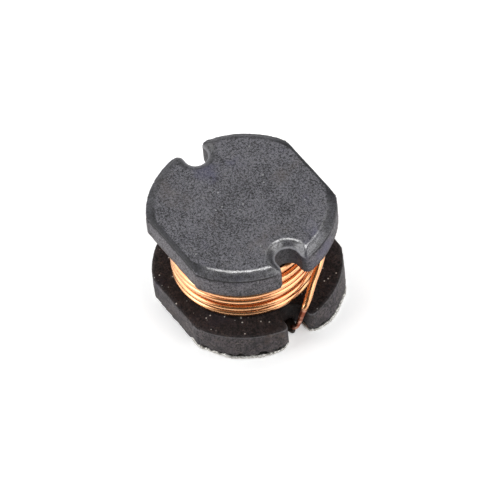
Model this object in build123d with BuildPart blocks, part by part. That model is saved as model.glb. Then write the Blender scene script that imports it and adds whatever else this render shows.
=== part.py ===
from build123d import *
import math
import os

# Surface-mount power inductor: one enamelled copper wire wound on a ferrite drum.
#
# The drum core is pressed and fired in one piece: a base flange, a post and a cap
# flange, each flange a round disc with two flats and a U-shaped notch at either end.
# The wire is wound on the post in an odd number of layers, so it starts at the bottom
# and finishes at the top, and its two ends come down through the base's notches to
# terminals under the base, where a little solder holds them.
#
# Millimetres. Origin at the bottom centre, on the mounting plane. +X runs through the
# notches, from the rear terminal to the front one, +Y across the flats, +Z up.

# overall
height = 5.0

# base flange
base_radius = 3.90
base_half_width = 3.57
base_top = 1.29
base_edge = 0.08

# cap flange
cap_radius = 3.85
cap_half_width = 3.40
cap_thickness = 1.14
cap_bevel = 0.19
rim_bevel = 0.37
notch_bevel = 0.29

# notches and corners, the same in both flanges
notch_half_width = 0.50
notch_depth = 1.05
lip_radius = 0.30
corner_radius = 0.22

# post
post_radius = 1.65
root_bevel = 0.10

# terminals, in recesses at the two ends of the base's underside
bridge_half_length = 1.05
bridge_lift = 0.04
terminal_thickness = 0.10
terminal_inset = 0.07
terminal_gap = 0.04
solder_half_width = 0.32
solder_reach = 1.45

# wire, drawn with a many-sided section
wire_diameter = 0.30
wire_sides = 10
layers = 5
post_gap = 0.04
flange_gap = 0.01
turn_gap = 0.015
least_slack = 0.25
wire_sink = 0.09
sleeve_reach = 0.11
lean = 0.15
lead_tail = 1.60
lead_seat = 0.02
groove_clearance = 0.05
lead_bend = 0.24

# the outer layer's turns lie in pairs: the share of the slack that opens after a turn
open_gaps = {2: 0.33, 4: 0.42}

# angles about the coil's axis where the wire comes out of the buried layers, steps
# from each turn to the next, and leaves the top turn, in degrees
rise_end = 20.0
step_start = 110.0
step_end = 60.0
leave_angle = 135.0
rise_depth = 0.38

# the finishing end outside the coil: angle about the coil's axis in degrees, distance
# out from the outer layer, height as a share of the top turn's above the base flange
lead_descent = [
    (110.0, 0.31, 0.98),
    (85.0, 0.35, 0.94),
    (62.0, 0.41, 0.84),
    (45.0, 0.46, 0.71),
    (32.7, 0.50, 0.555),
    (21.5, 0.53, 0.355),
]

# the finishing end at the front notch: distance in from the base's rim, distance out
# from the notch's side wall, height above the base flange
lead_drop = [
    (0.55, 0.17, 0.37),
    (0.45, -0.05, 0.20),
    (0.42, -0.19, -0.04),
    (0.43, -0.28, -0.44),
    (0.55, -0.43, -0.84),
]

# derived sizes
wire_radius = wire_diameter / 2
cap_bottom = height - cap_thickness
layer_step = wire_diameter * math.sin(math.radians(60))
outer_layer = post_radius + post_gap + wire_radius + (layers - 1) * layer_step
buried_radius = outer_layer - wire_radius + wire_sink
notch_end = base_radius - notch_depth
lead_level = lead_seat + wire_radius
window = cap_bottom - base_top - 2 * flange_gap
turns_per_layer = int((window + turn_gap - least_slack) / (wire_diameter + turn_gap))
slack = window + turn_gap - turns_per_layer * (wire_diameter + turn_gap)


def flange_outline(radius, half_width):
    """A disc with two flats, and a U-shaped notch at either end of X."""
    with BuildSketch() as outline:
        Circle(radius)
        Rectangle(3 * radius, 2 * half_width, mode=Mode.INTERSECT)
        with PolarLocations(radius - notch_depth + notch_half_width, 2):
            Circle(notch_half_width, mode=Mode.SUBTRACT)
            Rectangle(radius, 2 * notch_half_width, align=(Align.MIN, Align.CENTER), mode=Mode.SUBTRACT)
        rim = outline.vertices().filter_by(lambda v: math.hypot(v.X, v.Y) > 0.99 * radius)
        fillet(rim.sort_by(lambda v: abs(v.Y))[:4], lip_radius)
        flat_ends = outline.vertices().filter_by(lambda v: abs(v.Y) > 0.999 * half_width)
        fillet(flat_ends, corner_radius)
    return outline.sketch


# %% wire route: stations, each a point and the direction that the wire runs in there
def turn_heights():
    """Heights of the outer layer's turns, with open gaps between its pairs."""
    heights = [base_top + flange_gap + wire_radius]
    for turn in range(1, turns_per_layer):
        gap = turn_gap + slack * open_gaps.get(turn, 0)
        heights.append(heights[-1] + wire_diameter + gap)
    return heights


def around_coil(angle, radius, level):
    """A point at an angle and a distance from the coil's own axis."""
    turn = math.radians(angle)
    return Vector(radius * math.cos(turn) - lean, radius * math.sin(turn), level)


def on_turn(angle, radius, level):
    """A station on a level turn, run clockwise seen from above."""
    turn = math.radians(angle)
    return around_coil(angle, radius, level), Vector(math.sin(turn), -math.cos(turn), 0)


def coil_stations():
    """Out of the buried layers at the bottom, then turn by turn up to the last one."""
    levels = turn_heights()
    third = (360 - (step_start - step_end)) / 3
    stations = [
        on_turn(step_start, outer_layer - rise_depth, levels[0]),
        on_turn(rise_end, outer_layer, levels[0]),
    ]
    for level in levels:
        for part in range(4):
            stations.append(on_turn(step_end - part * third, outer_layer, level))
    del stations[2]
    stations[-1] = on_turn(leave_angle, outer_layer, levels[-1])
    return stations


def lead_stations():
    """The finishing end: out over the turns, down into the front notch and under."""
    top_turn = turn_heights()[-1]
    points = [around_coil(leave_angle, outer_layer, top_turn)]
    for angle, standoff, share in lead_descent:
        level = base_top + share * (top_turn - base_top)
        points.append(around_coil(angle, outer_layer + standoff, level))
    for inset, outside, rise in lead_drop:
        points.append(Vector(base_radius - inset, notch_half_width + outside, base_top + rise))
    points.append(Vector(notch_end, 0, lead_level))
    stations = []
    for before, point, after in zip(points, points[1:], points[2:]):
        arriving = point - before
        leaving = after - point
        heading = arriving / arriving.length**2 + leaving / leaving.length**2
        stations.append((point, heading.normalized()))
    inward = Vector(-1, 0, 0)
    return stations + [(points[-1], inward), (Vector(lead_tail, 0, lead_level), inward)]


def rear_lead_stations():
    """The starting end: along the rear terminal and up the rear notch to the coil."""
    foot = -(outer_layer + lean)
    return [
        (Vector(-lead_tail, 0, lead_level), Vector(-1, 0, 0)),
        (Vector(foot + lead_bend, 0, lead_level), Vector(-1, 0, 0)),
        (Vector(foot, 0, lead_level + lead_bend), Vector(0, 0, 1)),
        (Vector(foot, 0, turn_heights()[0]), Vector(0, 0, 1)),
    ]


def tangent_run(start, direction, end):
    """A line or a circular arc from start to end that leaves along direction."""
    if direction.cross(end - start).length < 1e-6:
        return Line(start, end)
    return TangentArc(start, end, tangent=direction)


def add_double_arc(first, second):
    """Two tangent arcs that join two stations and keep both directions."""
    start, heading = first
    end, arrival = second
    chord = end - start
    turning = 2 * (1 - heading.dot(arrival))
    along = chord.dot(heading + arrival)
    if turning < 1e-9:
        reach = chord.dot(chord) / (2 * along)
    else:
        reach = (math.sqrt(along**2 + turning * chord.dot(chord)) - along) / turning
    middle = (start + heading * reach + end - arrival * reach) / 2
    first_run = tangent_run(start, heading, middle)
    tangent_run(middle, first_run % 1, end)


def follow(stations):
    """Draw the route through all stations."""
    for first, second in zip(stations, stations[1:]):
        add_double_arc(first, second)


# %% drum core
with BuildPart() as drum_core:
    with BuildSketch(Plane.XY.offset(terminal_thickness)):
        add(flange_outline(base_radius, base_half_width))
    extrude(amount=base_top - terminal_thickness)
    chamfer(drum_core.faces().sort_by(Axis.Z)[-1].edges(), base_edge)
    with BuildSketch(Plane.XY.offset(bridge_lift)):
        add(flange_outline(base_radius, base_half_width))
        Rectangle(2 * bridge_half_length, 3 * base_radius, mode=Mode.INTERSECT)
    extrude(amount=terminal_thickness - bridge_lift)
    with BuildSketch(Plane.XY.offset(base_top)):
        Circle(post_radius)
    extrude(amount=cap_bottom - base_top)
    with BuildSketch(Plane.XY.offset(cap_bottom)):
        add(flange_outline(cap_radius, cap_half_width))
    extrude(amount=cap_thickness)
    chamfer(drum_core.faces().sort_by(Axis.Z)[-1].edges(), cap_bevel)
    with BuildSketch(Plane.XZ):
        with BuildLine():
            Polyline(
                (cap_radius - rim_bevel, height),
                (cap_radius, height - cap_bevel),
                (cap_radius + rim_bevel, height - cap_bevel),
                (cap_radius + rim_bevel, height),
                close=True,
            )
        make_face()
    revolve(axis=Axis.Z, mode=Mode.SUBTRACT)
    with Locations((0, 0, height)):
        with PolarLocations(cap_radius - notch_depth + notch_half_width, 2):
            Cone(
                notch_half_width, notch_half_width + notch_bevel, cap_bevel,
                align=(Align.CENTER, Align.CENTER, Align.MAX), mode=Mode.SUBTRACT,
            )
    post_ends = drum_core.edges().filter_by(GeomType.CIRCLE).filter_by(
        lambda e: abs(e.radius - post_radius) < 1e-6 and e.is_closed
    )
    chamfer(post_ends, root_bevel)
    with BuildSketch(Plane.XY.offset(terminal_thickness)):
        with PolarLocations(lead_tail - wire_diameter, 2):
            Rectangle(
                base_radius, wire_diameter + 2 * groove_clearance,
                align=(Align.MIN, Align.CENTER),
            )
    extrude(amount=lead_level + wire_radius + groove_clearance - terminal_thickness, mode=Mode.SUBTRACT)
drum_core.part.label = "drum_core"

# %% winding: the outer layer and both leads as wire, the buried layers as one sleeve
with BuildPart() as winding:
    with BuildLine() as route:
        follow(coil_stations() + lead_stations())
    with BuildSketch(Plane(origin=route.wire() @ 0, z_dir=route.wire() % 0)):
        RegularPolygon(wire_radius, wire_sides)
    sweep(path=route.wire())
    with BuildLine() as rear_route:
        follow(rear_lead_stations())
    with BuildSketch(Plane(origin=rear_route.wire() @ 0, z_dir=rear_route.wire() % 0)):
        RegularPolygon(wire_radius, wire_sides)
    sweep(path=rear_route.wire())
    with BuildSketch(Plane.XY.offset(turn_heights()[0] - sleeve_reach)):
        with Locations((-lean, 0)):
            Circle(buried_radius)
    extrude(amount=turn_heights()[-1] - turn_heights()[0] + 2 * sleeve_reach)
    with BuildSketch(Plane.XY.offset(base_top)):
        Circle(post_radius + post_gap)
    extrude(amount=cap_bottom - base_top, mode=Mode.SUBTRACT)
    inner_edges = winding.edges().filter_by(GeomType.CIRCLE).filter_by(
        lambda e: abs(e.radius - post_radius - post_gap) < 1e-6 and e.is_closed
    )
    chamfer(inner_edges, root_bevel)
winding.part.label = "winding"


# %% terminals and solder, front at +X and rear at -X
def end_plane(side):
    """The mounting plane seen from one end: its x runs out through that end's notch."""
    return Plane(origin=(0, 0, 0), x_dir=(side, 0, 0), z_dir=(0, 0, 1))


def make_terminal(side):
    with BuildPart() as terminal:
        with BuildSketch(end_plane(side)):
            add(flange_outline(base_radius - terminal_inset, base_half_width - terminal_inset))
            with Locations((bridge_half_length + terminal_gap, 0)):
                Rectangle(base_radius, 3 * base_radius, align=(Align.MIN, Align.CENTER), mode=Mode.INTERSECT)
            with Locations((solder_reach, 0)):
                Rectangle(base_radius, 2 * solder_half_width, align=(Align.MIN, Align.CENTER), mode=Mode.SUBTRACT)
        extrude(amount=terminal_thickness)
    return terminal.part


def make_solder(side):
    with BuildPart() as solder:
        with BuildSketch(end_plane(side)):
            with Locations((solder_reach, 0)):
                Rectangle(
                    notch_end - terminal_inset - solder_reach, 2 * solder_half_width,
                    align=(Align.MIN, Align.CENTER),
                )
        extrude(amount=terminal_thickness)
        add(winding.part, mode=Mode.SUBTRACT)
    return solder.part


pieces = [drum_core.part, winding.part]
for place, side in (("front", 1), ("rear", -1)):
    terminal = make_terminal(side)
    terminal.label = f"terminal_{place}"
    solder = make_solder(side)
    solder.label = f"solder_{place}"
    pieces += [terminal, solder]

os.makedirs("parts", exist_ok=True)
for piece in pieces:
    export_step(piece, f"parts/{piece.label}.step")
    print(piece.label, len(piece.solids()), "solid(s)", round(piece.volume, 2), "mm3", piece.is_valid)
print("turn heights", [round(level, 3) for level in turn_heights()])
print("wire drawn", round(route.wire().length + rear_route.wire().length, 1), "mm")
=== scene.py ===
# %% [markdown]
# # A surface-mount power inductor
#
# The real part is a black-grey ferrite drum, pressed and fired in one piece, with one
# enamelled copper wire wound on its post. The wire's two ends run down through notches
# in the drum's base to printed metal terminals underneath. The whole part is 7.8 mm
# across its round rim and 5 mm high, so everything that gives it its look is small:
# tumbled edges, powder grain, broken print edges and the shine of the turns.
#
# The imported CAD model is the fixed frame. Each solid is replaced by a more detailed
# piece in the same place. Blender works in metres here, and the part's own sizes are
# easier to read in millimetres, so MM turns one into the other.

# %% Load the frame
import bmesh
import bpy
import math
import numpy as np
from mathutils import Matrix, Vector, noise


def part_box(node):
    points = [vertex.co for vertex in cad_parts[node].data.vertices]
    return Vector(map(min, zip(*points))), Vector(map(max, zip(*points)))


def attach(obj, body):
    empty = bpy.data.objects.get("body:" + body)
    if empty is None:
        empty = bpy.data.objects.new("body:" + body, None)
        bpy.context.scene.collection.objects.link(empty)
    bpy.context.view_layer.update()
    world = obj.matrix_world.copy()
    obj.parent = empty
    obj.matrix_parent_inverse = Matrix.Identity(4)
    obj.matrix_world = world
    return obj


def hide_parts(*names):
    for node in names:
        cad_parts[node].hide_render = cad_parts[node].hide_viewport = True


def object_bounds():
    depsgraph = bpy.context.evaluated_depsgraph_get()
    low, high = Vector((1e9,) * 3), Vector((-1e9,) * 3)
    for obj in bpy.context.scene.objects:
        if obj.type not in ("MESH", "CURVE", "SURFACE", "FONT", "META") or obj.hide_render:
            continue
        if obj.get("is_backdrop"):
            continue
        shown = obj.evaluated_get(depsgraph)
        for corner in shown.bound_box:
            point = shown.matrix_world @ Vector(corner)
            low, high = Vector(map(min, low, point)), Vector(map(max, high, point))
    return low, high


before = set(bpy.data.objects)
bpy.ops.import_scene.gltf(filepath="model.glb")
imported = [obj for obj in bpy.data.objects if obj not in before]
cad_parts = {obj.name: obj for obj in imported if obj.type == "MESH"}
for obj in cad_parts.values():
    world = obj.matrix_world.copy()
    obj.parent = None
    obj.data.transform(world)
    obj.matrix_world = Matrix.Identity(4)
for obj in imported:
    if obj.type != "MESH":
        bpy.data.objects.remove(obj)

MM = 0.001
cad_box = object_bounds()
box_low, box_high = np.array(cad_box[0]) / MM, np.array(cad_box[1]) / MM
print("CAD box, mm:", np.round(box_low, 2), "to", np.round(box_high, 2))

# %% [markdown]
# ## Camera
#
# The part is seen from well above and a little to one side of its front notch, through
# a long lens from 20 cm away, so its circles stay nearly true ellipses. The camera's
# place is worked out from the point it looks at, two angles and a roll, because those
# are the numbers that someone would set on a real camera stand.

# %% Camera
look_at = Vector((0, 0, 2.2)) * MM
camera_distance = 200 * MM
camera_azimuth = math.radians(60.97)
camera_elevation = math.radians(50.68)
camera_roll = math.radians(-6.21)
aim_right, aim_up = -0.166 * MM, 0.089 * MM
sensor_width_mm, focal_length_mm = 36, 356.25
nearest_seen, farthest_seen = 1 * MM, 10

back = Vector((
    math.sin(camera_azimuth) * math.cos(camera_elevation),
    -math.cos(camera_azimuth) * math.cos(camera_elevation),
    math.sin(camera_elevation),
))
level_right = Vector((math.cos(camera_azimuth), math.sin(camera_azimuth), 0))
level_up = back.cross(level_right)
rolled_right = level_right * math.cos(camera_roll) + level_up * math.sin(camera_roll)
rolled_up = back.cross(rolled_right)

camera = bpy.data.objects.new("camera", bpy.data.cameras.new("camera"))
camera.data.sensor_width = sensor_width_mm
camera.data.lens = focal_length_mm
camera.data.clip_start = nearest_seen
camera.data.clip_end = farthest_seen
turned = Matrix((rolled_right, rolled_up, back)).transposed().to_4x4()
place = look_at + back * camera_distance - level_right * aim_right - level_up * aim_up
camera.matrix_world = Matrix.Translation(place) @ turned
bpy.context.scene.collection.objects.link(camera)
bpy.context.scene.camera = camera
bpy.context.scene.view_settings.view_transform = "Standard"
print("camera at, mm:", [round(value / MM, 1) for value in place])

# %% [markdown]
# ## The part's sizes
#
# These repeat the sizes of the CAD source, in millimetres, because a piece made here
# has to lie exactly where its solid lies. The height of the whole part is read from the
# frame.

# %% Sizes of the drum
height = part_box("drum_core")[1].z / MM
base_radius, base_half_width, base_top = 3.90, 3.57, 1.29
cap_radius, cap_half_width, cap_bottom = 3.85, 3.40, height - 1.14
notch_half_width, notch_depth = 0.50, 1.05
lip_radius, corner_radius = 0.30, 0.22
print("part height, mm:", round(height, 2))

# %% [markdown]
# ## Numbers on many points at once
#
# A ferrite drum is tumbled after firing: every edge is rubbed round and a little
# chipped. A bevel modifier would round every edge evenly and would look like plastic.
# Instead the solid is meshed again in small even squares, like a lump of clay, and the
# squares' corners are then moved by rules: drawn on to the true outline, smoothed where
# tumbling rubs, and chipped by noise. NumPy moves all points in one step.

# %% Helper: a solid meshed again
weld_reach = 1e-4


def remeshed(node, name, grain, cut=None, keep_above=True, blobs=()):
    """A new object with a CAD node's shape, in even squares of one size, in mm.

    Where a cut is given, only what lies above it, or below it, is kept. Blobs, each a
    middle and three radii, melt into the shape.
    """
    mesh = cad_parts[node].data.copy()
    mesh.transform(Matrix.Scale(1 / MM, 4))
    welded = bmesh.new()
    welded.from_mesh(mesh)
    bmesh.ops.remove_doubles(welded, verts=welded.verts, dist=weld_reach)
    if cut is not None:
        bmesh.ops.bisect_plane(
            welded, geom=welded.verts[:] + welded.edges[:] + welded.faces[:],
            plane_co=(0, 0, cut), plane_no=(0, 0, 1),
            clear_inner=keep_above, clear_outer=not keep_above,
        )
        open_edges = [edge for edge in welded.edges if edge.is_boundary]
        bmesh.ops.holes_fill(welded, edges=open_edges)
    for middle, radii in blobs:
        shape = Matrix.Translation(middle) @ Matrix.Diagonal((*radii, 1))
        bmesh.ops.create_icosphere(welded, subdivisions=4, radius=1, matrix=shape)
    welded.to_mesh(mesh)
    welded.free()
    piece = bpy.data.objects.new(name, mesh)
    bpy.context.scene.collection.objects.link(piece)
    squares = piece.modifiers.new("squares", "REMESH")
    squares.mode = "VOXEL"
    squares.voxel_size = grain
    bpy.context.view_layer.update()
    solid = piece.evaluated_get(bpy.context.evaluated_depsgraph_get())
    piece_mesh = bpy.data.meshes.new_from_object(solid)
    piece.modifiers.clear()
    piece.data = piece_mesh
    piece_mesh.materials.clear()
    print(name, "has", len(piece_mesh.vertices), "points")
    return piece


# %% Helpers: a piece's points, and moving them
def points_of(piece):
    """All points of a piece's mesh, as rows of x, y, z."""
    rows = np.empty(len(piece.data.vertices) * 3)
    piece.data.vertices.foreach_get("co", rows)
    return rows.reshape(-1, 3)


def set_points(piece, rows):
    """Move a piece's points to new places."""
    piece.data.vertices.foreach_set("co", rows.reshape(-1))
    piece.data.update()


def normals_of(piece):
    """The direction that the surface faces at every point."""
    rows = np.empty(len(piece.data.vertices) * 3)
    piece.data.vertex_normals.foreach_get("vector", rows)
    return rows.reshape(-1, 3)


def mark(piece, name, values):
    """Store one number for every point of a piece, for its finish to read."""
    marks = piece.data.attributes.new(name, "FLOAT", "POINT")
    marks.data.foreach_set("value", values.astype(np.float32))


def shaded_smooth(piece):
    """Let light pass over the faces of a piece as over one round surface."""
    piece.data.polygons.foreach_set("use_smooth", [True] * len(piece.data.polygons))


def finished_inside_box(piece, rows, lift=0.0):
    """Keep points inside the CAD box, bring them to metres, and shade them smooth."""
    rows = np.clip(rows, box_low + (0, 0, lift), box_high)
    set_points(piece, rows * MM)
    shaded_smooth(piece)


# %% [markdown]
# Tumbling can be copied by moving every point part of the way to the mean of its
# neighbours: flat ground stays where it is, and a sharp edge loses most. The distance
# that a point moves also tells how worn it is. Broken edges and uneven prints need
# noise instead, in lumps of a known size.

# %% Helpers: rubbing, noise and soft steps
def neighbour_mean(piece, rows):
    """The mean of each point's neighbours along the mesh's edges."""
    ends = np.empty(len(piece.data.edges) * 2, dtype=np.int64)
    piece.data.edges.foreach_get("vertices", ends)
    first, second = ends[0::2], ends[1::2]
    count = np.bincount(np.concatenate([first, second]), minlength=len(rows))
    total = np.stack([
        np.bincount(first, rows[second, axis], len(rows))
        + np.bincount(second, rows[first, axis], len(rows))
        for axis in range(3)
    ], axis=1)
    return total / np.maximum(count, 1)[:, None]


def rubbed(piece, times, weight=0.5):
    """Smooth a piece, as tumbling does: sharp edges lose most."""
    rows = points_of(piece)
    for _ in range(times):
        rows += weight * (neighbour_mean(piece, rows) - rows)
    set_points(piece, rows)


def rough(rows, size, seed):
    """Smooth noise between about -1 and 1 at every point, with lumps of one size."""
    shift = Vector((seed * 7.3, seed * 3.1, seed * 5.7))
    return np.array([noise.noise(Vector(row) / size + shift) for row in rows])


def waved(rows, waves):
    """Noise of several sizes at once: the lump size, seed and height of each."""
    return sum(crest * rough(rows, size, seed) for size, seed, crest in waves)


def smooth_step(low, high, values):
    """0 on low's side, 1 on high's side, and a soft change between."""
    share = np.clip((values - low) / (high - low), 0, 1)
    return share * share * (3 - 2 * share)


# %% [markdown]
# ## The outline of a flange
#
# Both flanges are round discs with two flats and a U-shaped notch at either end. Asked
# how deep inside that outline a point lies, three plain distances give the answer: to
# the round rim, to the flat, and to the notch. The smallest one counts, and where two
# are small at once, the corner is rounded.

# %% Depth inside a flange's outline
def edge_distances(rows, radius, half_width):
    """Distances in from the rim, the flats and the notches."""
    x, y = rows[:, 0], rows[:, 1]
    bow = radius - notch_depth + notch_half_width
    to_rim = radius - np.hypot(x, y)
    to_flat = half_width - np.abs(y)
    to_notch = np.where(
        np.abs(x) < bow,
        np.hypot(np.abs(x) - bow, y),
        np.abs(y),
    ) - notch_half_width
    return to_rim, to_flat, to_notch


def rounded_least(a, b, radius):
    """The smaller of two distances, with the corner between them rounded."""
    corner = radius - np.hypot(np.maximum(radius - a, 0), np.maximum(radius - b, 0))
    return np.where((a < radius) & (b < radius), corner, np.minimum(a, b))


def depth_inside(rows, radius, half_width):
    """How far inside a flange's outline each point is."""
    to_rim, to_flat, to_notch = edge_distances(rows, radius, half_width)
    around = rounded_least(to_rim, to_flat, corner_radius)
    return rounded_least(around, to_notch, lip_radius)


def drawn_to_outline(rows, radius, half_width, rounds=3, probe=0.002, least_slope=0.2):
    """Slide points sideways, along the steepest way, until they lie on the outline."""
    for _ in range(rounds):
        depth = depth_inside(rows, radius, half_width)
        slope_x = (depth_inside(rows + (probe, 0, 0), radius, half_width) - depth) / probe
        slope_y = (depth_inside(rows + (0, probe, 0), radius, half_width) - depth) / probe
        steep = np.maximum(slope_x**2 + slope_y**2, least_slope)
        rows = rows - np.stack([depth * slope_x / steep, depth * slope_y / steep, 0 * depth], 1)
    return rows


# %% [markdown]
# ## Ferrite drum
#
# The drum is pressed from powder in one piece. It is meshed here in two halves that
# meet inside the winding, where nobody sees the joint, so that each flange can have
# finer squares. Voxel squares leave steps of a few hundredths of a millimetre on an
# upright wall, so the wall's points are drawn back on to the true outline first.

# %% Drum: two halves, drawn on to the true outlines
grain_size = 0.046
joint_level = 2.5
wall_reach, steepest_top = 0.04, 0.8
cap = remeshed("drum_core", "ferrite_cap", grain_size, joint_level, keep_above=True)
base = remeshed("drum_core", "ferrite_base", grain_size, joint_level, keep_above=False)
outlines = {cap: (cap_radius, cap_half_width), base: (base_radius, base_half_width)}

for half, outline in outlines.items():
    rows = points_of(half)
    near_outline = np.abs(depth_inside(rows, *outline)) < wall_reach
    wall = near_outline & (np.abs(normals_of(half)[:, 2]) < steepest_top)
    rows[wall] = drawn_to_outline(rows[wall], *outline)
    set_points(half, rows)
    print(half.name, "points drawn to its outline:", int(wall.sum()))

# %% [markdown]
# The press leaves a round-shouldered bevel along the cap's whole outline: wide and deep
# at the round rim and round the notches, narrow along the flats. At the very edge it
# ends in a narrow level land. A bevel modifier gives one width all round, so here each
# side's bevel is a parabola in the distance from that side instead, and adding the
# cubes of the three joins them without a crease.

# %% Drum: the cap's round-shouldered bevel
land_width = 0.07
bevels = ((0.46, 0.18), (0.22, 0.09), (0.42, 0.19))   # width and drop: rim, flats, notches
deepest_bevel, top_inset = 0.28, 0.012


def bevel_loss(rows):
    """How far the cap's top lies below its full height, in mm."""
    loss = np.zeros(len(rows))
    distances = edge_distances(rows, cap_radius, cap_half_width)
    for distance, (width, drop) in zip(distances, bevels):
        share = np.clip(1 - (distance - land_width) / (width - land_width), 0, 1)
        loss += (drop * share**2) ** 3
    return loss ** (1 / 3)


rows = points_of(cap)
loss = bevel_loss(rows)
inside = depth_inside(rows, cap_radius, cap_half_width) > top_inset
on_top = inside & (rows[:, 2] > height - deepest_bevel)
rows[:, 2] = np.where(on_top, height - loss, np.minimum(rows[:, 2], height - loss))
set_points(cap, rows)
print("cap bevel:", int(on_top.sum()), "points on top, deepest", round(float(loss.max()), 3), "mm")

# %% [markdown]
# Handling has polished the bevel at the rim and round the notches, more so at the front
# end. The finish can't see shapes, only numbers on points, so three marks are stored
# for it: the bevel, its part along the flats, and the polish. The first two also carry
# painted shade: the finish darkens the whole bevel, and the part along the flats more.

# %% Drum: where the bevel is, and where it is polished
bevel_seen, flat_side = (0.0, 0.010), (-0.35, 0.05)
deep_loss, front_half = (0.04, 0.09), (-1.0, 1.0)
lost_where_deep, rear_polish = 0.5, 0.3

to_rim, to_flat, to_notch = edge_distances(rows, cap_radius, cap_half_width)
bevelled = np.where(on_top, smooth_step(*bevel_seen, loss), 0)
along_flat = smooth_step(*flat_side, np.minimum(to_rim, to_notch) - to_flat)
shallow = 1 - lost_where_deep * smooth_step(*deep_loss, loss)
towards_front = rear_polish + (1 - rear_polish) * smooth_step(*front_half, rows[:, 0])
polished = bevelled * (1 - along_flat) * shallow * towards_front
mark(cap, "bevel", bevelled)
mark(cap, "polish", polished)
mark(cap, "flat_bevel", bevelled * along_flat)
print("polished points:", int((polished > 0.5).sum()))

# %% [markdown]
# Tumbling comes next. The drum is rubbed, and the distance that each point was pushed
# in marks the worn edges. Noise in lumps of about 0.2 mm chips those edges only, and
# three sizes of faint waves keep the broad faces from being dead flat.

# %% Drum: tumbling and chipping
rub_seen, rub_full = 0.002, 0.014
chip_from, chip_full = 0.15, 0.6
face_waves = ((0.9, 1, 0.009), (0.24, 2, 0.005), (0.09, 3, 0.004))
chip_waves = ((0.21, 4, 1.0), (0.09, 3, 0.4))


def tumbled(half, times, chip_depth):
    """Rub a half's edges round, chip them, and mark how worn each point is."""
    before = points_of(half)
    rubbed(half, times)
    rows = points_of(half)
    facing = normals_of(half)
    edge = smooth_step(rub_seen, rub_full, ((before - rows) * facing).sum(axis=1))
    chips = edge * smooth_step(chip_from, chip_full, waved(rows, chip_waves))
    rows += facing * (waved(rows, face_waves) - chip_depth * chips)[:, None]
    set_points(half, rows)
    mark(half, "edge", np.clip(edge - chips, 0, 1))
    print(half.name, "has", int((edge > 0.5).sum()), "points on worn edges")


tumbled(cap, times=2, chip_depth=0.022)
tumbled(base, times=4, chip_depth=0.040)

# %% [markdown]
# Just under the cap's rim the die halves met, and the flash broke off along a fine
# step. It runs round the wall but fades out towards the notches; the finish paints it
# as a near-black line of painted shade. Inside a notch the wall is darkened with
# painted shade, and the lip above it is lightened with a painted highlight: those two
# are only marked, for the finish.

# %% Drum: the flash step under the cap's rim
flash_depth = 0.03
flash_top, flash_foot = (0.015, 0.04), (0.15, 0.11)   # mm below the land
flash_skin, flash_fade = (0.08, 0.05), (0.15, 0.50)   # mm from the outline, from a notch
notch_wall, hollow_top = (0.16, 0.08), (0.03, 0.08)
brow_reach, brow_top, brow_foot = (0.11, 0.05), (-0.035, -0.01), (0.045, 0.02)

rows = points_of(cap)
depth = depth_inside(rows, cap_radius, cap_half_width)
to_notch = edge_distances(rows, cap_radius, cap_half_width)[2]
below_land = height - bevel_loss(rows) - rows[:, 2]
flash = smooth_step(*flash_top, below_land) * smooth_step(*flash_foot, below_land)
flash *= smooth_step(*flash_skin, depth) * smooth_step(*flash_fade, to_notch)
set_points(cap, rows - normals_of(cap) * (flash_depth * flash)[:, None])

notch_shade = smooth_step(*notch_wall, to_notch) * smooth_step(*hollow_top, below_land)
brow_highlight = smooth_step(*brow_reach, to_notch)
brow_highlight *= smooth_step(*brow_top, below_land) * smooth_step(*brow_foot, below_land)
mark(cap, "flash", flash)
mark(cap, "notch_shade", notch_shade)
mark(cap, "brow_highlight", brow_highlight)
print("flash step:", int((flash > 0.5).sum()), "points")

# %% [markdown]
# The base's lower rim is where silver paste crept up from the underside and was fired.
# The ferrite there is broken and wavy, and the four round sides spread a little towards
# the foot. The rim is lifted by noise of three sizes, most on the two ends with paste,
# and the foot leans out last, so that the noise isn't stretched. Deep in the notches the
# walls are marked for painted shade, like those of the cap.

# %% Drum: the spread foot and broken lower rim of the base
foot_reach = 0.14
lean_depth, lean_height = 0.4, base_top - 0.15
past_notch, before_flat = (8, 24), (64, 40)   # degrees from the X axis
rim_reach, rim_height = (0.24, 0.10), (0.50, 0.14)
off_notch, paste_side, paste_lift = (0.02, 0.12), (1.4, 2.0), 0.13
rim_waves = ((0.75, 5, 0.10), (0.24, 6, 0.13), (0.1, 7, 0.09))
crumbled_by, crumb_waves = 0.01, ((0.3, 12, 0.02),)
deep_in_notch = (3.60, 3.25)


def spread(rows, reach):
    """How far the four round sides of the base lean out, most at the foot."""
    x, y = np.abs(rows[:, 0]), np.abs(rows[:, 1])
    angle = np.degrees(np.arctan2(y, x))
    side = smooth_step(*past_notch, angle) * smooth_step(*before_flat, angle)
    share = side * smooth_step(lean_depth, 0.0, base_radius - np.hypot(x, y))
    low_down = np.clip(1 - rows[:, 2] / lean_height, 0, 1)
    outward = rows * (1, 1, 0) / np.maximum(np.hypot(x, y), 0.1)[:, None]
    return outward * (reach * share * low_down)[:, None]


rows = points_of(base)
flat = rows * (1, 1, 0)
to_notch = edge_distances(rows, base_radius, base_half_width)[2]
at_rim = smooth_step(*rim_reach, depth_inside(rows, base_radius, base_half_width))
at_rim *= smooth_step(*rim_height, rows[:, 2]) * smooth_step(*off_notch, to_notch)
pasted = smooth_step(*paste_side, np.abs(rows[:, 0]))
lift = paste_lift * pasted + waved(flat, rim_waves) * (0.5 + 0.5 * pasted)
rows[:, 2] += at_rim * lift
rows += normals_of(base) * (at_rim * (waved(rows, crumb_waves) - crumbled_by))[:, None]
deep = smooth_step(*deep_in_notch, np.abs(rows[:, 0]))
mark(base, "notch_shade", smooth_step(*notch_wall, to_notch) * deep)
set_points(base, rows + spread(rows, foot_reach))
print("lower rim lifted by up to", round(float((at_rim * lift).max()), 2), "mm")

# %% [markdown]
# Noise may have pushed a point a hair outside the CAD model's box, so every piece is
# clipped to it. The ferrite is also kept a little above the seat, because the real part
# stands on its terminals.

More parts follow.
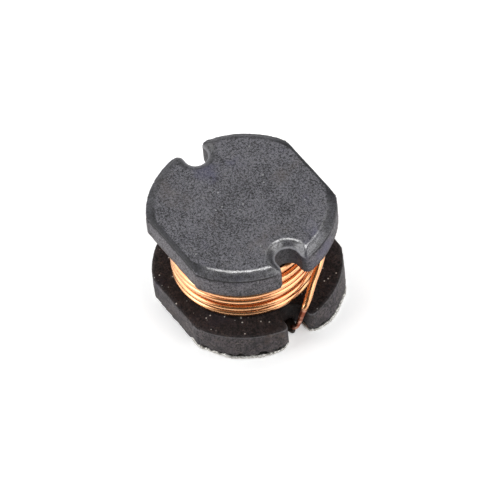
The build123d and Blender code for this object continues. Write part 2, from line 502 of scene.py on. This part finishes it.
# %% Drum: inside the box, in metres, in place
seat_clearance = 0.02
for half in outlines:
    finished_inside_box(half, points_of(half), seat_clearance)
    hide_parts("drum_core")
    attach(half, "root")
print("ferrite halves:", ", ".join(half.name for half in outlines))

# %% [markdown]
# ## Wire
#
# The wire is 0.3 mm copper in clear enamel. The outer layer and both ends are real
# wire, laid turn by turn: each turn runs level and steps up to the next one behind.
# The turns lie in touching pairs with gaps between, and the sixth has sunk a little
# into the layer below, which opens the dark gap that shows in the front notch.
#
# A Bezier curve with a round bevel is a good wire, because it stays smooth when the
# camera is close. It runs through stations, each a point and the direction that the
# wire runs in there.

# %% Wire: sizes and heights of the turns
wire_radius = 0.154
outer_layer = 2.879
inner_layer = outer_layer - 2 * wire_radius * math.sin(math.radians(60))
lean = 0.15
turn_levels = [1.452, 1.756, 2.205, 2.509, 2.985, 3.289, 3.57]
sunk_turn, sunk_by = 5, 0.22
leave_angle = 135


def around_coil(angle, radius, level):
    """A point at an angle in degrees and a distance in mm from the coil's own axis."""
    turn = math.radians(angle)
    return Vector((radius * math.cos(turn) - lean, radius * math.sin(turn), level))


def on_turn(angle, radius, level):
    """A station on a level turn, run clockwise seen from above."""
    turn = math.radians(angle)
    heading = Vector((math.sin(turn), -math.cos(turn), 0))
    return around_coil(angle, radius, level), heading


# %% Wire: stations of the outer layer
rise_start, rise_end, rise_depth = 110, 20, 0.38
level_from, level_arc, spans = 60, 310, 3

coil = [
    on_turn(rise_start, outer_layer - rise_depth, turn_levels[0]),
    on_turn(rise_end, outer_layer, turn_levels[0]),
]
for number, level in enumerate(turn_levels):
    distance = outer_layer - sunk_by * (number == sunk_turn)
    for part in range(spans + 1):
        coil.append(on_turn(level_from - part * level_arc / spans, distance, level))
del coil[2]   # the first turn starts where the wire has risen from the layer below
coil[-1] = on_turn(leave_angle, outer_layer, turn_levels[-1])
print("outer layer:", len(turn_levels), "turns,", len(coil), "stations")

# %% [markdown]
# The finishing end leaves the top turn at the back, swings out over the turns, drops
# in front of them and bends into the front notch. Each point of the swing gives the
# angle about the coil's axis, the distance out from the outer layer and the height.
# The points of the drop lead down into the notch, where the enamel is stripped and the
# wire is thinner. The heading at each point is a mean of the ways in and out, in which
# the nearer neighbour counts more.

# %% Wire: stations of the two ends
swing = [
    (110.0, 0.31, 3.564), (85.0, 0.35, 3.471), (62.0, 0.41, 3.239),
    (45.0, 0.46, 2.937), (32.7, 0.50, 2.578), (21.5, 0.53, 2.114),
]
drop = [
    (3.38, 0.69, 1.66), (3.48, 0.49, 1.49), (3.50, 0.35, 1.25),
    (3.47, 0.20, 0.87), (3.38, 0.04, 0.45),
]
notch_end, lead_level, tail = 2.85, 0.13, 1.6
inward, upward = Vector((-1, 0, 0)), Vector((0, 0, 1))

path = [around_coil(leave_angle, outer_layer, turn_levels[-1])]
path += [around_coil(angle, outer_layer + out, level) for angle, out, level in swing]
path += [Vector(point) for point in drop] + [Vector((notch_end, 0, lead_level))]
finish_end = []
for before_it, point, after_it in zip(path, path[1:], path[2:]):
    arriving, leaving = point - before_it, after_it - point
    heading = arriving / arriving.length**2 + leaving / leaving.length**2
    finish_end.append((point, heading.normalized()))
finish_end += [(path[-1], inward), (Vector((tail, 0, lead_level)), inward)]

foot = -(outer_layer + lean)
bend = 0.24
start_end = [
    (Vector((-tail, 0, lead_level)), inward),
    (Vector((foot + bend, 0, lead_level)), inward),
    (Vector((foot, 0, lead_level + bend)), upward),
    (Vector((foot, 0, turn_levels[0])), upward),
]
print("finishing end:", len(finish_end), "stations, starting end:", len(start_end))

# %% [markdown]
# A Bezier span is very nearly a circular arc when its handles are
# chord / (3 cos^2(bend / 4)) long. The thickness at each station is a share of the full
# wire, so that the stripped ends can be drawn thinner on the same curve.

# %% Wire: a curve through stations
steps_per_span = 24


def lay_wire(curve, stations, thickness):
    """Add one run of wire to a curve, through stations of point and direction."""
    run = curve.splines.new("BEZIER")
    run.bezier_points.add(len(stations) - 1)
    run.resolution_u = steps_per_span
    for knot, (point, _), share in zip(run.bezier_points, stations, thickness):
        knot.co = point * MM
        knot.handle_left_type = knot.handle_right_type = "FREE"
        knot.handle_left = knot.handle_right = knot.co
        knot.radius = share
    for number, (first, second) in enumerate(zip(stations, stations[1:])):
        (start, leaving), (end, arriving) = first, second
        turned_by = leaving.angle(arriving, 0)
        reach = (end - start).length / (3 * math.cos(turned_by / 4) ** 2)
        run.bezier_points[number].handle_right = (start + leaving * reach) * MM
        run.bezier_points[number + 1].handle_left = (end - arriving * reach) * MM


# %% [markdown]
# The curve gets a round section and flat ends, and is then turned into a mesh, because
# a curve can't be handed over as a piece. Stripping and dressing took some copper off
# both ends, so those are drawn at two thirds to nine tenths of the full thickness.

# %% Wire: a piece made of wire, and the outer layer
section_steps = 6


def wound(name, runs):
    """A piece made of round wire, from runs of stations and thicknesses."""
    curve = bpy.data.curves.new(name + "_path", "CURVE")
    curve.dimensions = "3D"
    curve.bevel_depth = wire_radius * MM
    curve.bevel_resolution = section_steps
    curve.use_fill_caps = True
    for stations, thickness in runs:
        lay_wire(curve, stations, thickness)
    drawn = bpy.data.objects.new(name + "_path", curve)
    bpy.context.scene.collection.objects.link(drawn)
    bpy.context.view_layer.update()
    solid = drawn.evaluated_get(bpy.context.evaluated_depsgraph_get())
    piece = bpy.data.objects.new(name, bpy.data.meshes.new_from_object(solid))
    bpy.data.objects.remove(drawn)
    bpy.context.scene.collection.objects.link(piece)
    shaded_smooth(piece)
    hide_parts("winding")
    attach(piece, "root")
    print(name, "has", len(piece.data.polygons), "faces")
    return piece


stripped = [0.90, 0.74, 0.70, 0.66, 0.66, 0.80]
whole = [1] * (len(coil) + len(finish_end) - len(stripped))
outer_wire = wound("wire_outer_layer", [
    (coil + finish_end, whole + stripped),
    (start_end, [0.80, 0.80, 0.90, 1]),
])

# %% [markdown]
# Under the outer layer lie four more. Only the fourth is ever seen, through the two
# gaps that open between pairs of turns, so it is laid as real wire too: one helix with
# its turns in the hollows of the layer above. A helix needs a station every 60 degrees,
# because a longer span would cut across the circle.

# %% Wire: the layer below
hollow_levels = [1.60, 1.98, 2.36, 2.75, 3.05]
helix_start, stations_per_turn, pressed_in = 80, 6, 0.05
helix_radius = inner_layer - pressed_in

helix = []
for number in range(stations_per_turn * (len(hollow_levels) - 1) + 1):
    turn, part = divmod(number, stations_per_turn)
    level = hollow_levels[turn]
    if part:
        level += (hollow_levels[turn + 1] - level) * part / stations_per_turn
    angle = helix_start - 360 / stations_per_turn * number
    helix.append(on_turn(angle, helix_radius, level))
inner_wire = wound("wire_inner_layer", [(helix, [1] * len(helix))])
print("layer below:", len(hollow_levels) - 1, "turns")

# %% [markdown]
# ## Terminals and solder
#
# The terminals are silver paste printed on the two ends of the underside and fired.
# Paste creeps, so the edge of the print is uneven, and round the base's rim it stands
# up in a thin ragged lip. Each starts from its CAD solid and is meshed again in small
# squares, so that noise can push the rim out and up. It spreads a little farther than
# the ferrite's foot, which leaves a bright broken line under the dark wall.

# %% Terminals
paste_grain, paste_rubs, paste_reach = 0.05, 2, 0.16
paste_rim = (0.16, 0.06)
mean_creep, creep_waves = 0.07, ((0.35, 8, 0.04),)
mean_lip, lip_waves = 1.4, ((0.3, 10, 0.9), (0.12, 13, 0.7))
print_waves = ((0.3, 9, 0.012),)

for side in ("front", "rear"):
    plate = remeshed(f"terminal_{side}", f"terminal_print_{side}", paste_grain)
    rubbed(plate, paste_rubs)
    rows = points_of(plate)
    flat = rows * (1, 1, 0)
    rim = smooth_step(*paste_rim, depth_inside(rows, base_radius, base_half_width))
    creep = rim * (mean_creep + waved(flat, creep_waves))
    lip = rim * (mean_lip + waved(flat, lip_waves))
    rows += normals_of(plate) * (1, 1, 0) * creep[:, None]
    rows += spread(rows, paste_reach)
    rows[:, 2] *= 1 + lip
    rows[:, 2] += waved(rows, print_waves)
    finished_inside_box(plate, rows)
    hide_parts(f"terminal_{side}")
    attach(plate, "root")

# %% [markdown]
# The solder that holds each wire end is a small flat pool. It climbs the wire at the
# notch, so two round blobs are melted into the CAD solid there, and rubbing many times
# gives the soft skin that surface tension gives a real pool.

# %% Solder pools
solder_grain, solder_rubs = 0.03, 14
skin_waves = ((0.3, 11, 0.012),)
climbs = (((2.92, -0.03, 0.16), (0.36, 0.30, 0.15)), ((3.22, -0.06, 0.13), (0.16, 0.14, 0.12)))
for side, out in (("front", 1), ("rear", -1)):
    blobs = [((out * x, y, z), radii) for (x, y, z), radii in climbs]
    pool = remeshed(f"solder_{side}", f"solder_pool_{side}", solder_grain, blobs=blobs)
    rubbed(pool, solder_rubs)
    rows = points_of(pool)
    rows += normals_of(pool) * waved(rows, skin_waves)[:, None]
    finished_inside_box(pool, rows)
    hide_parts(f"solder_{side}")
    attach(pool, "root")

# %% [markdown]
# ## Finishes
#
# A finish is a material made of nodes. Written as Python expressions, its maths is
# easier to read than a screen of boxes: the class Signal wraps one socket, and adding,
# multiplying or comparing signals adds the Math nodes.


# %% Shader maths
class Signal:
    """A number that changes over a surface, made by one socket of a shader."""

    def __init__(self, finish, socket):
        self.finish, self.socket = finish, socket

    def math(self, operation, *values):
        """One Math node, with its values in order."""
        return self.finish.node("Math", {"operation": operation}, dict(enumerate(values)))

    def __add__(self, other):
        return self.math("ADD", self, other)

    def __sub__(self, other):
        return self.math("SUBTRACT", self, other)

    def __rsub__(self, other):
        return self.math("SUBTRACT", other, self)

    def __mul__(self, other):
        return self.math("MULTIPLY", self, other)

    def __gt__(self, other):
        return self.math("GREATER_THAN", self, other)

    def __lt__(self, other):
        return self.math("LESS_THAN", self, other)

    __radd__ = __add__
    __rmul__ = __mul__

    def between(self, low, high):
        """0 on low's side and 1 on high's side, with a soft change."""
        return self.finish.node(
            "MapRange", {"interpolation_type": "SMOOTHSTEP"},
            {"Value": self, "From Min": low, "From Max": high},
        )


# %% [markdown]
# Every node of a finish comes from the one method node(), so all of them are made in
# the same order: type, settings, sockets. The other methods are short names for what
# several finishes need. Places are measured in millimetres from the part's origin, so
# noise "with seven lumps" has seven lumps to a millimetre on every piece.


# %% Finishes from nodes
class Finish:
    """A material whose nodes all come from one method."""

    def __init__(self, name):
        self.material = bpy.data.materials.new(name)
        self.material.use_nodes = True
        self.tree = self.material.node_tree
        self.tree.nodes.clear()
        here = self.node("TexCoord", output="Object")
        self.place = self.node("VectorMath", {"operation": "SCALE"}, {0: here, "Scale": 1 / MM})

    def node(self, kind, settings=(), inputs=(), output=0):
        """Add a node: its type, its settings, then its sockets' values or links."""
        made = self.tree.nodes.new("ShaderNode" + kind)
        for name, value in dict(settings).items():
            setattr(made, name, value)
        for name, value in dict(inputs).items():
            if isinstance(value, Signal):
                self.tree.links.new(value.socket, made.inputs[name])
            else:
                made.inputs[name].default_value = value
        return Signal(self, made.outputs[output]) if made.outputs else None

    def along(self, axis):
        """How far a place lies along X, Y or Z from the part's origin, in mm."""
        return self.node("SeparateXYZ", {}, {0: self.place}, output=axis)

    def marked(self, name):
        """A mark that was stored on the piece's points, or 0 where there is none."""
        return self.node("Attribute", {"attribute_name": name}, {}, output="Fac")

    def lumps(self, per_mm, detail=2, roughness=0.5, shift=0, squash=(1, 1, 1)):
        """Noise with so many lumps to a millimetre."""
        spot = self.node(
            "VectorMath", {"operation": "MULTIPLY_ADD"},
            {0: self.place, 1: squash, 2: (shift, shift * 1.7, -shift)},
        )
        return self.node(
            "TexNoise", {},
            {"Vector": spot, "Scale": per_mm, "Detail": detail, "Roughness": roughness},
        )

    def dots(self, per_mm, edge, core):
        """Scattered round dots: 0 at the edge's distance from a middle, 1 at the core's."""
        inputs = {"Vector": self.place, "Scale": per_mm}
        return self.node("TexVoronoi", {}, inputs, output="Distance").between(edge, core)

    def mix(self, mask, first, second, blend="MIX"):
        """One colour turning into another as a mask goes from 0 to 1."""
        return self.node(
            "Mix", {"data_type": "RGBA", "blend_type": blend},
            {0: mask, 6: first, 7: second}, output=2,
        )

    def glazed(self, body, layers):
        """A colour under thin layers: where each lies, how it blends, and its colour."""
        for where, blend, colour in layers:
            body = self.mix(where, body, (*colour, 1), blend)
        return body

    def bump(self, height_signal, depth_mm, strength):
        """Fine relief: the light sees it, the mesh doesn't change."""
        inputs = {"Strength": strength, "Distance": depth_mm * MM, "Height": height_signal}
        return self.node("Bump", {}, inputs, output="Normal")

    def surface(self, **sockets):
        """Join everything into the one surface shader and make it the material's."""
        named = {name.replace("_", " "): value for name, value in sockets.items()}
        shader = self.node("BsdfPrincipled", {}, named, output="BSDF")
        self.node("OutputMaterial", {}, {"Surface": shader})
        print("finish", self.material.name, "has", len(self.tree.nodes), "nodes")


def tinted(colour, tint):
    """A colour times a tint, channel by channel."""
    return tuple(value * share for value, share in zip(colour, tint))


# %% [markdown]
# ## Ferrite
#
# Fired ferrite is a charcoal grey with fine powder grain and faint bluish and brownish
# clouds. The two halves share one recipe with different greys: the cap is cleaner, and
# the base is darker, browner and more stained, because it was printed and soldered.
#
# The body colour starts from the grain and is then laid over in thin layers, like a
# painter's glazes. Each layer is one row of a table: where it is, whether it multiplies
# or covers, and its colour. One picture of noise could give all the stains at once, but
# a row each lets every stain have its own size, strength and tint.

# %% Ferrite: the fired body and its clouds
bluish_tint, brownish_tint = (0.50, 0.49, 0.78), (0.58, 0.48, 0.38)
stain_shade, streak_shade = (0.50, 0.47, 0.49), (1.7, 1.66, 1.42)


def fired_body(ferrite, grain, powder, mottle, light, stain):
    """The grain of fired ferrite, from black to a light grey, clouded and stained."""
    clouds = ferrite.lumps(0.75, detail=2, shift=9)
    tint_clouds = ferrite.lumps(0.55, detail=3, roughness=0.6, shift=21)
    stains = ferrite.lumps(1.9, detail=3, roughness=0.6, shift=14)
    streaks = ferrite.lumps(2.6, detail=3, roughness=0.6, shift=31, squash=(1, 1, 2.5))
    shade = (grain - 0.5) * 3.0 + (powder - 0.5) * 2.6
    shade = shade + (mottle - 0.5) * 0.6 + (clouds - 0.5) * 0.5 + 0.5
    body = ferrite.mix(shade.between(-0.15, 1.15), (0, 0, 0, 1), (*light, 1))
    brown_strength = stain * 0.6 + 0.25
    return ferrite.glazed(body, (
        (tint_clouds.between(0.56, 0.75) * 0.5, "MIX", tinted(light, bluish_tint)),
        (tint_clouds.between(0.44, 0.28) * brown_strength, "MIX", tinted(light, brownish_tint)),
        (stains.between(0.48, 0.62) * stain, "MULTIPLY", stain_shade),
        (streaks.between(0.50, 0.70) * stain, "MULTIPLY", streak_shade),
    ))


# %% [markdown]
# Wear and painted light and shade come on top. A few bright specks and dark pits lie
# anywhere. Heights above the seat tell which wall a place is on, and the marks made on
# the mesh tell where the bevels, rubbed edges, notches and flash step are. The order of
# the rows matters: specks and pits lie under every shade, and the loose dust on the base
# lies over all.

# %% Ferrite: specks, worn edges, and painted light and shade
cap_starts = (cap_bottom - 0.26, cap_bottom - 0.16)
under_land = (height - 0.18, height - 0.24)
cap_foot = (cap_bottom + 0.26, cap_bottom + 0.04)
base_rim = (0.42, 0.12)


def worn(ferrite, body, pits, dust, top_of_base, hollow_shade):
    """The body's colour with its specks, pits, worn edges and dust, and with painted light
    and shade on its walls, bevels and notches.
    """
    up = ferrite.along("Z")
    on_cap = up.between(*cap_starts)
    return ferrite.glazed(body, (
        (ferrite.dots(1.6, 0.075, 0.045) * 0.6, "MIX", (0.42, 0.42, 0.42)),
        (pits * 0.8, "MIX", (0.012, 0.011, 0.013)),
        # painted light: the cap's wall below the land is made paler
        (up.between(*under_land) * on_cap, "MULTIPLY", (1.16, 1.10, 1.08)),
        # painted shade: the whole bevel is darkened, and the part along the flats more
        (ferrite.marked("bevel"), "MULTIPLY", (0.48, 0.48, 0.50)),
        (ferrite.marked("flat_bevel"), "MULTIPLY", (0.40, 0.40, 0.42)),
        (ferrite.marked("edge") * 0.55, "MIX", (0.23, 0.228, 0.236)),
        # painted shade in the notches' hollows
        (ferrite.marked("notch_shade"), "MULTIPLY", hollow_shade),
        # painted highlight along the lip above each notch
        (ferrite.marked("brow_highlight") * 0.45, "MIX", (0.34, 0.34, 0.36)),
        # painted shade: the flash step is drawn as a near-black line
        (ferrite.marked("flash") * 0.95, "MIX", (0.008, 0.007, 0.008)),
        (up.between(*cap_foot) * on_cap * 0.8, "MULTIPLY", (0.50, 0.42, 0.38)),
        # painted shade on the base's top, under the cap
        (top_of_base * 0.85, "MULTIPLY", (0.26, 0.21, 0.19)),
        # painted shade along the base's lower rim
        (up.between(*base_rim) * 0.85, "MULTIPLY", (0.20, 0.18, 0.18)),
        (dust * top_of_base, "MIX", (0.62, 0.60, 0.56)),
    ))


# %% [markdown]
# The polish on the bevel is a clear coat. A coat ignores the grain's bump, so the lamps
# draw one smooth bright line along the rim, broken only where pits and powder cut the
# coat away. Lower roughness alone would make every grain sparkle instead.

# %% Ferrite finish
base_top_band = (base_top - 0.09, base_top - 0.03)
below_cap = (cap_bottom + 0.09, cap_bottom - 0.06)
grain_relief = 0.032


def ferrite_finish(name, light, gloss_index, roughness, stain, hollow_shade):
    """Fired ferrite up to a light grey, more or less stained, with painted shade in its hollows.
    """
    ferrite = Finish(name)
    grain = ferrite.lumps(10, detail=3, roughness=0.7)
    powder = ferrite.lumps(22, detail=2, roughness=0.6, shift=3)
    mottle = ferrite.lumps(2.8, detail=2, shift=17)
    pits = ferrite.dots(1.15, 0.09, 0.05)
    dust = ferrite.dots(3.8, 0.155, 0.085) * mottle.between(0.42, 0.56)
    up = ferrite.along("Z")
    top_of_base = up.between(*base_top_band) * up.between(*below_cap)
    body = fired_body(ferrite, grain, powder, mottle, light, stain)
    rubbing = ferrite.marked("edge") * 0.04
    powdery = powder.between(0.35, 0.60) * 0.6 + 0.4
    relief = grain * 0.65 + powder * 0.35 - pits * 0.8
    ferrite.surface(
        Base_Color=worn(ferrite, body, pits, dust, top_of_base, hollow_shade),
        Roughness=roughness - rubbing + (powder - 0.5) * 0.2 + top_of_base * 0.3,
        Coat_Weight=ferrite.marked("polish") * (1 - pits) * powdery,
        Coat_Roughness=0.28,
        Coat_IOR=2.9,
        Normal=ferrite.bump(relief, grain_relief, 1.0),
        IOR=gloss_index,
    )
    return ferrite.material


cap.data.materials.append(ferrite_finish(
    "ferrite_cap_finish", light=(0.182, 0.179, 0.202), gloss_index=1.5,
    roughness=0.60, stain=0.15, hollow_shade=(0.50, 0.50, 0.51),
))
base.data.materials.append(ferrite_finish(
    "ferrite_base_finish", light=(0.118, 0.097, 0.103), gloss_index=1.4,
    roughness=0.55, stain=0.9, hollow_shade=(0.26, 0.20, 0.18),
))

# %% [markdown]
# ## Enamelled copper
#
# Bright copper in a clear lacquer. The metal gives the orange, and every bounce from
# turn to turn makes it redder. The lacquer is a coat, with soft streaks along the wire
# from the drawing die. In the front notch the lacquer is stripped off and the copper
# is dull and brown, with paler streaks where it was scraped.

# %% Copper finish
strip_start, strip_level = 3.15, (1.62, 1.38)
bright_copper = ((0.95, 0.46, 0.17, 1), (0.99, 0.52, 0.20, 1))
streak_copper = (0.78, 0.29, 0.10, 1)
dull_copper = ((0.27, 0.075, 0.040, 1), (0.86, 0.47, 0.34, 1))
lacquer_tint = (1.0, 0.86, 0.74, 1)

copper = Finish("enamelled_copper_finish")
streaks = copper.lumps(5, detail=2, roughness=0.5, squash=(0.4, 0.4, 1.4))
clouding = copper.lumps(1.2, detail=2, shift=5)
bare = (copper.along("X") > strip_start) * copper.along("Z").between(*strip_level)
colour = copper.mix(clouding.between(0.3, 0.7), *bright_copper)
colour = copper.mix(streaks.between(0.45, 0.75) * 0.20, colour, streak_copper)
dull = copper.mix(streaks.between(0.42, 0.66), *dull_copper)
copper.surface(
    Base_Color=copper.mix(bare, colour, dull),
    Metallic=1 - bare * 0.1,
    Roughness=0.27 + bare * 0.11 + (streaks - 0.5) * 0.08,
    Coat_Weight=1 - bare,
    Coat_Roughness=0.20,
    Coat_IOR=2.05,
    Coat_Tint=lacquer_tint,
    Normal=copper.bump(streaks * 0.7 + clouding * 0.3, 0.004, 0.25),
)
for piece in (outer_wire, inner_wire):
    piece.data.materials.append(copper.material)

# %% [markdown]
# ## Terminal silver
#
# Fired silver paste is pale, matt and a little pitted, with browner patches where the
# flux burnt on to it.

# %% Silver finish
paste_colours = ((0.42, 0.40, 0.37, 1), (0.78, 0.77, 0.74, 1))
burnt_paste = (0.50, 0.45, 0.38, 1)

silver = Finish("terminal_silver_finish")
paste = silver.lumps(7, detail=3, roughness=0.6)
patches = silver.lumps(1.3, detail=2, shift=4)
colour = silver.mix(paste.between(0.3, 0.7), *paste_colours)
silver.surface(
    Base_Color=silver.mix(patches.between(0.5, 0.75) * 0.4, colour, burnt_paste),
    Metallic=0.85,
    Roughness=0.42 + (paste - 0.5) * 0.3,
    Normal=silver.bump(paste, 0.03, 0.7),
)

# %% [markdown]
# ## Solder
#
# Solder is brighter and smoother than the paste, with a faint frosting where it froze.
# Out by the notch it lies under a glassy crust of dark flux resin, which isn't metal.

# %% Solder finish
solder_colours = ((0.62, 0.62, 0.62, 1), (0.83, 0.83, 0.82, 1))
solder_film = (0.55, 0.52, 0.48, 1)
resin_colours = ((0.006, 0.004, 0.003, 1), (0.035, 0.020, 0.012, 1))
resin_start, resin_full = 2.55, 2.75

solder = Finish("solder_finish")
frost = solder.lumps(9, detail=3, roughness=0.6)
flow = solder.lumps(1.6, detail=2, shift=2)
outwards = solder.along("X")
resin = outwards.math("ABSOLUTE", outwards).between(resin_start, resin_full)
colour = solder.mix(frost.between(0.35, 0.7), *solder_colours)
colour = solder.mix(flow.between(0.5, 0.75) * 0.3, colour, solder_film)
solder.surface(
    Base_Color=solder.mix(resin, colour, solder.mix(frost, *resin_colours)),
    Metallic=1 - resin,
    Roughness=0.26 + frost * 0.16 + resin * 0.1,
    Normal=solder.bump(frost, 0.012, 0.5),
)
for side in ("front", "rear"):
    bpy.data.objects[f"terminal_print_{side}"].data.materials.append(silver.material)
    bpy.data.objects[f"solder_pool_{side}"].data.materials.append(solder.material)

# %% [markdown]
# ## Floor and backdrop
#
# The part stands on a plain white sheet. The sheet is a pale diffuse colour, so it
# takes the part's shadow, and a glow that only the camera, mirrors and glass see lifts
# the open sheet to white without lighting the part's dull faces any more. Turning the
# lamps up until the sheet is white would wash out the ferrite.


# %% Floor
def seen_directly(finish):
    """1 for what the camera, a mirror or glass sees, and 0 for light on its way."""
    camera_ray, glossy_ray, clear_ray = (
        finish.node("LightPath", output=f"Is {kind} Ray")
        for kind in ("Camera", "Glossy", "Transmission")
    )
    seen = camera_ray.math("MAXIMUM", camera_ray, glossy_ray)
    return seen.math("MAXIMUM", seen, clear_ray)


floor_reach, floor_level = 1.5, -0.002 * MM
sheet_white, sheet_glow = 0.82, 0.42

corners = [
    (x * floor_reach, y * floor_reach, floor_level)
    for x, y in ((-1, -1), (1, -1), (1, 1), (-1, 1))
]
floor_mesh = bpy.data.meshes.new("floor")
floor_mesh.from_pydata(corners, [], [(0, 1, 2, 3)])
floor = bpy.data.objects.new("floor", floor_mesh)
bpy.context.scene.collection.objects.link(floor)
floor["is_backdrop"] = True

sheet = Finish("white_sheet")
lit = sheet.node("BsdfDiffuse", {}, {"Color": (sheet_white, sheet_white, sheet_white, 1)})
glow_strength = seen_directly(sheet) * sheet_glow
glow = sheet.node("Emission", {}, {"Color": (1, 1, 1, 1), "Strength": glow_strength})
both = sheet.node("AddShader", {}, {0: lit, 1: glow})
sheet.node("OutputMaterial", {}, {"Surface": both})
floor_mesh.materials.append(sheet.material)
print("floor", 2 * floor_reach, "m wide,", round(floor_level / MM, 3), "mm up")

# %% [markdown]
# The room itself gives a faint even light, so that no shadow is quite black.

# %% Room light
room_light = 0.07
world = bpy.data.worlds.new("studio")
bpy.context.scene.world = world
world.use_nodes = True
background = world.node_tree.nodes["Background"]
background.inputs["Color"].default_value = (1, 1, 1, 1)
background.inputs["Strength"].default_value = room_light
print("room light", room_light)

# %% [markdown]
# ## Lamps
#
# Five large soft boxes stand round the part: one overhead for the top and the rim's
# bright line, one at either side, a tall narrow one between the left one and the camera,
# and a faint one behind.
# Each is set by the direction it stands in, how large it is, and how bright its face
# looks; the power follows from the last two. A box's mirror image is what shows on the
# copper, so the side boxes draw the broad pale streaks on the turns.


# %% Soft boxes
aim_level = 2 * MM


def soft_box(name, bearing, elevation, distance, width, depth, brightness):
    """An area lamp aimed at the part, from a direction in degrees and sizes in mm."""
    turn, lift = math.radians(bearing), math.radians(elevation)
    flat_reach = math.cos(lift)
    towards = Vector((math.cos(turn) * flat_reach, math.sin(turn) * flat_reach, math.sin(lift)))
    lamp = bpy.data.lights.new(name, "AREA")
    lamp.shape = "RECTANGLE"
    lamp.size, lamp.size_y = width * MM, depth * MM
    lamp.energy = brightness * math.pi * lamp.size * lamp.size_y
    box = bpy.data.objects.new(name, lamp)
    aimed = towards.to_track_quat("Z", "Y").to_matrix().to_4x4()
    place = towards * distance * MM + Vector((0, 0, aim_level))
    box.matrix_world = Matrix.Translation(place) @ aimed
    box.visible_camera = False
    bpy.context.scene.collection.objects.link(box)
    print(name, "power", round(lamp.energy, 4), "W")


soft_boxes = (
    # name, bearing and elevation in degrees, distance, width, depth in mm, brightness
    ("box_overhead", 145, 74, 90, 48, 34, 5.4),
    ("box_right", 34, 35, 90, 88, 98, 2.1),
    ("box_left", 232, 30, 90, 100, 100, 1.8),
    ("box_front", 258, 24, 90, 38, 60, 2.4),
    ("box_rear", 150, 30, 90, 110, 50, 0.3),
)
for values in soft_boxes:
    soft_box(*values)

# %% Sizes and finish
sizes = {
    "cad": [list(corner) for corner in cad_box],
    "visual": [list(corner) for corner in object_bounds()],
}
for name, (lowest, highest) in sizes.items():
    print(name, "box, mm:", [round((b - a) / MM, 3) for a, b in zip(lowest, highest)])
